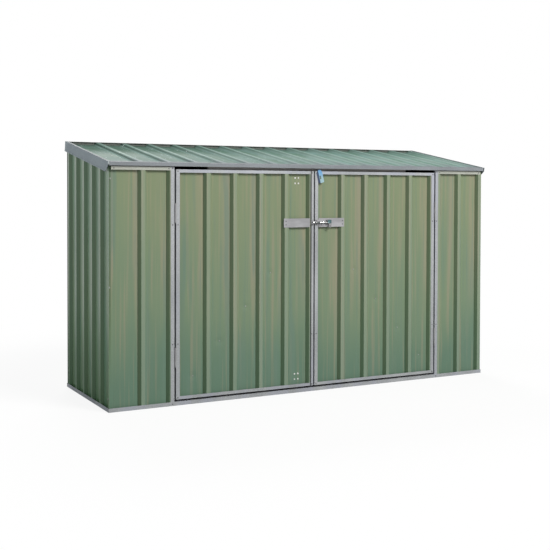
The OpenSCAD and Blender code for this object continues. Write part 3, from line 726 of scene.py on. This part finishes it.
def on_plate(node, places, face_y, spread):
    """Two fasteners at each place on X, over and under the plate's middle."""
    middle_z = (low_end(node).z + high_end(node).z) / 2
    return [((x, face_y, middle_z + dz), FRONT) for x in places for dz in (-spread, spread)]


def lock_rivets():
    """Heads of the left leaf's strip and keeper, and of the right leaf's strip and bolt."""
    keeper_low, keeper_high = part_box("keeper_plate")
    latch_low, latch_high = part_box("latch_plate")
    plate_y = leaf_face - BOLT_PLATE_T
    keeper_x = keeper_high.x - KEEPER_SCREW_IN
    bolt_x = (latch_low.x + BOLT_SCREW_IN, bolt_end.x - BOLT_SCREW_END)
    left = on_plate("keeper_plate", (keeper_low.x + KEEPER_RIVET_IN,), leaf_face, PLATE_RIVET_Z)
    left += on_plate("latch_plate", (keeper_x,), plate_y, PLATE_SCREW_Z)
    right = on_plate("latch_plate", (latch_high.x - LATCH_RIVET_IN,), leaf_face, PLATE_RIVET_Z)
    right += on_plate("latch_plate", bolt_x, plate_y, PLATE_SCREW_Z)
    return left, right


def rail_rivets():
    """Rivets at both ends of the short rails beside the doorway, mirrored on X."""
    rail_low = low_end("front_rails")
    post_low, post_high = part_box("door_post_left")
    outer_x = rail_low.x + RAIL_RIVET_IN
    inner_x = post_low.x - RAIL_RIVET_END
    height = post_high.z - RAIL_RIVET_DROP
    return [((x, rail_low.y, height), FRONT) for x in (outer_x, inner_x, -inner_x, -outer_x)]


def corner_screws():
    """Screws that join a side wall's right edge to the next wall's sheet.

    They repeat at the corner across, half a turn round the shed.
    """
    wall_x = low_end("left_wall").x
    pan_y = high_end("front_panel_left").y - SHEET_T
    rib_y = side_rib_y["left_wall"] + LAST_RIB_SCREW
    found = []
    for turn in (1, -1):
        for inset, z in CORNER_SCREWS:
            found.append(((turn * (wall_x + inset), turn * pan_y, z), (0, -turn, 0)))
        found.append(((turn * wall_x, turn * rib_y, LOW_CORNER_Z), (-turn, 0, 0)))
    return found


bright_heads = zinc("bright_rivets", *BRIGHT_HEADS)
dull_heads = zinc("dull_rivets", *DULL_HEADS)
grey_heads = zinc("grey_heads", *GREY_HEADS)

left_lock, right_lock = lock_rivets()
post_rivets = stile_screws("door_post_left") + stile_screws("door_post_right") + rail_rivets()
left_frame_rivets = stile_screws("left_hinge_stile") + stile_screws("left_meeting_stile") + left_lock
right_frame_rivets = stile_screws("right_hinge_stile") + stile_screws("right_meeting_stile") + right_lock
left_sheet_rivets = brace_rivets("left_door_sheet", left_dents)
right_sheet_rivets = brace_rivets("right_door_sheet", right_dents)

fasteners("post_rivets", "shed", dull_heads, rivets=post_rivets)
fasteners("corner_screws", "shed", grey_heads, screws=corner_screws())
fasteners("left_frame_rivets", "left_door", dull_heads, rivets=left_frame_rivets)
fasteners("drop_bolt_rivets", "left_door", bright_heads, rivets=drop_bolt_rivets(), radius=BOLT_RIVET_R)
fasteners("left_sheet_rivets", "left_door", grey_heads, rivets=left_sheet_rivets)
fasteners("right_frame_rivets", "right_door", dull_heads, rivets=right_frame_rivets)
fasteners("right_sheet_rivets", "right_door", grey_heads, rivets=right_sheet_rivets)


# ---------------------------------------------------------------------------
# Floor, light and camera
# ---------------------------------------------------------------------------
def studio_white(name, half_x, half_y, keep=0.12, near=1.4, far=3.2):
    """A plain floor that the camera sees as nearly white.

    Up to near metres from the middle it keeps a share of its real shading, so
    that the object's shadow stays, and past far metres none. Inside the shed,
    half_x by half_y from the middle, it is an ordinary dull floor. Mirrored in
    the shed it is dull close by and bright further off.
    """
    tree = material_tree(name)
    place = tree.place()
    distance = tree.vector("LENGTH", place, out="Value")
    kept = tree.times(tree.fall(distance, near, far), keep)
    x, y = tree.axes(place)[:2]
    inside_x = tree.math("LESS_THAN", tree.math("ABSOLUTE", x), half_x)
    inside_y = tree.math("LESS_THAN", tree.math("ABSOLUTE", y), half_y)
    outside = tree.less(tree.times(inside_x, inside_y))
    path = tree.nodes.new("ShaderNodeLightPath").outputs

    mottle = tree.noise(place, 1.3, 3.0)
    dull = tree.mix(tree.times(mottle, 0.5), (0.45, 0.45, 0.45), (0.42, 0.42, 0.42))
    colour = tree.mix(tree.times(path["Is Camera Ray"], outside), dull, (0.97, 0.97, 0.97))
    diffuse = tree.node("BsdfDiffuse", Color=colour)
    glow = tree.node("Emission", Color=WHITE, Strength=1.0)

    mirrored = tree.times(path["Is Glossy Ray"], tree.ramp(distance, 1.4, 6.5), 0.85)
    seen = tree.math("MAXIMUM", path["Is Camera Ray"], mirrored)
    seen = tree.math("MAXIMUM", seen, path["Is Transmission Ray"])
    share = tree.times(seen, tree.less(kept), outside)
    return tree.mixed_end(share, diffuse, glow)


def make_floor(half=40.0, drop=0.0005, inset=0.01):
    """A square floor just under the shed, so that the two don't share a face.

    Its dull inside begins at inset from the base's outer edges.
    """
    mesh = bmesh.new()
    corners = ((-half, -half), (half, -half), (half, half), (-half, half))
    mesh.faces.new([mesh.verts.new((x, y, -drop)) for x, y in corners])
    data = bpy.data.meshes.new("floor")
    mesh.to_mesh(data)
    mesh.free()
    floor = bpy.data.objects.new("floor", data)
    bpy.context.scene.collection.objects.link(floor)
    half_x = -low_end("base_left").x - inset
    half_y = high_end("base_left").y - inset
    data.materials.append(studio_white("floor_white", half_x, half_y))


def make_world(strength):
    """Soft daylight all round. The camera and mirrors see plain white instead."""
    world = bpy.data.worlds.new("studio")
    bpy.context.scene.world = world
    tree = Tree(world)
    soft = tree.node("Background", Color=DAYLIGHT, Strength=strength)
    white = tree.node("Background", Color=WHITE, Strength=1.0)
    path = tree.nodes.new("ShaderNodeLightPath").outputs
    seen = path["Is Camera Ray"]
    for other in ("Is Glossy Ray", "Is Transmission Ray"):
        seen = tree.math("MAXIMUM", seen, path[other])
    tree.mixed_end(seen, soft, white, "World")


def make_lamp(name, azimuth, elevation, power, colour, distance=14.0, size=6.0):
    """A round area lamp that faces the shed's middle.

    Azimuth 0 is straight in front of the doors and grows towards the right end.
    """
    target = Vector((0.0, 0.0, 0.6))
    turn, rise = math.radians(azimuth), math.radians(elevation)
    out = Vector((math.sin(turn) * math.cos(rise), -math.cos(turn) * math.cos(rise), math.sin(rise)))
    lamp = bpy.data.lights.new(name, "AREA")
    lamp.shape = "DISK"
    lamp.size = size
    lamp.energy = power
    lamp.color = colour
    thing = bpy.data.objects.new(name, lamp)
    bpy.context.scene.collection.objects.link(thing)
    thing.location = target + out * distance
    thing.rotation_euler = out.to_track_quat("Z", "Y").to_euler()


def make_camera():
    yaw, pitch, roll = (math.radians(turn) for turn in (CAMERA_YAW, CAMERA_PITCH, CAMERA_ROLL))
    # The level camera is turned and tipped first, and then rolled about its own axis.
    level_right = Vector((math.cos(yaw), math.sin(yaw), 0.0))
    level_ahead = Vector((-math.sin(yaw), math.cos(yaw), 0.0))
    ahead = level_ahead * math.cos(pitch) + Vector((0, 0, 1)) * math.sin(pitch)
    level_up = level_right.cross(ahead)
    right = level_right * math.cos(roll) + level_up * math.sin(roll)
    up = level_up * math.cos(roll) - level_right * math.sin(roll)
    data = bpy.data.cameras.new("camera")
    data.lens = CAMERA_LENS
    data.sensor_width = 36.0
    data.shift_x, data.shift_y = CAMERA_SHIFT
    data.clip_end = 200.0
    camera = bpy.data.objects.new("camera", data)
    bpy.context.scene.collection.objects.link(camera)
    turned = Matrix((right, up, -ahead)).transposed().to_4x4()
    camera.matrix_world = Matrix.Translation(CAMERA_AT) @ turned
    bpy.context.scene.camera = camera


make_floor()
make_world(0.20)
make_lamp("key", 22, 36, 1650, WARM_LIGHT)
make_lamp("left_fill", -95, 25, 420, COOL_LIGHT)
make_lamp("back_fill", 170, 40, 900, PLAIN_LIGHT)
make_camera()
bpy.context.scene.view_settings.view_transform = "Standard"
